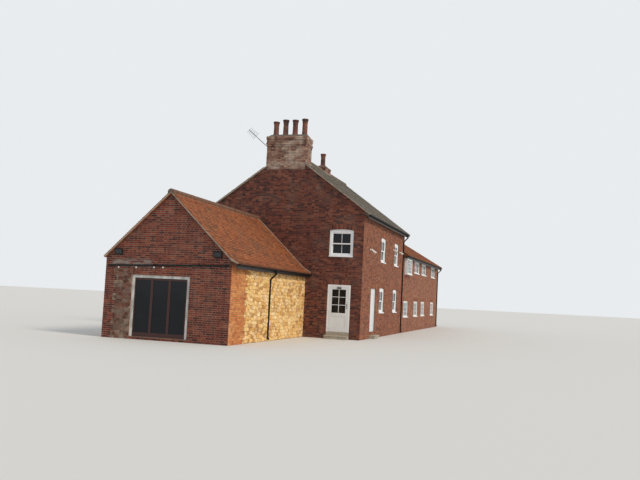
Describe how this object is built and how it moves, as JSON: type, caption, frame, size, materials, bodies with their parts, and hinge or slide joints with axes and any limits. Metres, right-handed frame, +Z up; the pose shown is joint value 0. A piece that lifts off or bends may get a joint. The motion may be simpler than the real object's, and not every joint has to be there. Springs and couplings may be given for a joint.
{
  "type": "brick country inn",
  "caption": "Brick village inn: a main house with corbelled chimneys and a hinged gable door, a lower wing in line and a low gabled outbuilding, all under tiled roofs.",
  "frame": {"origin": "on the ground, at the middle of the underside of the main house's ground floor", "axes": "+X is the road front, +Y runs along the building from the outbuilding to the wing, +Z is up"},
  "size_m": [8.0326, 32.9943, 9.9371],
  "materials": {
    "house_brick": "matt",
    "orange_brick": "matt",
    "chimney_brick": "matt",
    "floor_concrete": "matt",
    "floor_board": "satin",
    "grey_tile": "matt",
    "orange_tile": "matt",
    "ridge_tile": "matt",
    "terracotta": "matt",
    "white_paint": "satin",
    "door_paint": "satin",
    "window_glass": "polished",
    "handle_metal": "satin",
    "step_stone": "matt",
    "dark_board": "satin",
    "black_gutter": "satin",
    "lamp_housing": "satin",
    "white_lamp": "satin",
    "aerial_metal": "satin"
  },
  "bodies": {
    "root": {"gable_wall_left": "house_brick", "gable_wall_right": "house_brick", "gable_wall_upper": "house_brick", "house_front_wall": "house_brick", "house_back_wall": "house_brick", "house_far_wall": "house_brick", "house_ground_floor": "floor_concrete", "house_first_floor": "floor_board", "house_roof_front": "grey_tile", "house_roof_back": "grey_tile", "house_ridge_tiles": "ridge_tile", "gable_chimney": "chimney_brick", "ridge_chimney": "chimney_brick", "chimney_pots": "terracotta", "gable_door_frame": "white_paint", "gable_door_step": "step_stone", "front_door": "door_paint", "house_windows": "white_paint", "wing_front_wall": "orange_brick", "wing_back_wall": "orange_brick", "wing_far_gable": "orange_brick", "wing_ground_floor": "floor_concrete", "wing_first_floor": "floor_board", "wing_roof_front": "orange_tile", "wing_roof_back": "orange_tile", "wing_ridge_tiles": "ridge_tile", "wing_windows": "white_paint", "outbuilding_gable": "orange_brick", "outbuilding_front_wall": "orange_brick", "outbuilding_back_wall": "orange_brick", "outbuilding_floor": "floor_concrete", "outbuilding_roof_front": "orange_tile", "outbuilding_roof_back": "orange_tile", "outbuilding_ridge_tiles": "ridge_tile", "outbuilding_doors": "white_paint", "window_glass": "window_glass", "fascias": "dark_board", "gutters": "black_gutter", "downpipes": "black_gutter", "gable_lamps": "lamp_housing", "front_lamps": "white_lamp", "tv_aerial": "aerial_metal"},
    "gable_door": {"gable_door": "door_paint", "gable_door_glass": "window_glass", "gable_door_handle": "handle_metal"}
  },
  "joints": [
    {"name": "gable_door_hinge", "type": "hinge", "parent": "root", "child": "gable_door", "pos_m": [2.2588, -5.0093, 1.3], "axis": [0, 0, -1], "range_deg": [0, 100]}
  ]
}
